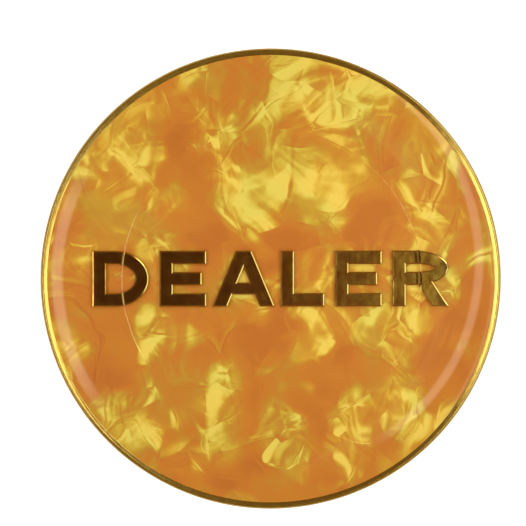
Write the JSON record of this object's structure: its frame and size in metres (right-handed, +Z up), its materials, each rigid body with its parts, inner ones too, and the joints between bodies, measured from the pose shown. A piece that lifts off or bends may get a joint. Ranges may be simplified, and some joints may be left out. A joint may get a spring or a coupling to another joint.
{
  "type": "dealer button",
  "caption": "Round two-faced table marker: domed clear covers over metal letters and golden pearl sheets, held in a plain metal trim ring.",
  "frame": {"origin": "centre of the underside face, on the surface that the button lies on", "axes": "+Z up through the button's thickness; the word on the upper face reads along +X, with the tops of its letters towards +Y"},
  "size_m": [0.076, 0.076, 0.02],
  "materials": {
    "ring_gold": "gold-plated brass, polished, with fine handling scratches",
    "letter_gold": "mirror-polished gilt with a bevelled rim",
    "clear_acrylic": "clear cast acrylic, polished",
    "pearl_sheet": "golden celluloid-type pearl with satin flakes and folds",
    "bond_film": "clear bonding film",
    "core_plastic": "moulded ivory plastic"
  },
  "bodies": {
    "root": {"trim_ring": "ring_gold", "core_disc": "core_plastic", "top_bond_film": "bond_film", "top_pearl_sheet": "pearl_sheet", "top_lens": "clear_acrylic", "top_letter_1_d": "letter_gold", "top_letter_2_e": "letter_gold", "top_letter_3_a": "letter_gold", "top_letter_4_l": "letter_gold", "top_letter_5_e": "letter_gold", "top_letter_6_r": "letter_gold", "bottom_bond_film": "bond_film", "bottom_pearl_sheet": "pearl_sheet", "bottom_lens": "clear_acrylic", "bottom_letter_1_d": "letter_gold", "bottom_letter_2_e": "letter_gold", "bottom_letter_3_a": "letter_gold", "bottom_letter_4_l": "letter_gold", "bottom_letter_5_e": "letter_gold", "bottom_letter_6_r": "letter_gold"}
  },
  "joints": []
}
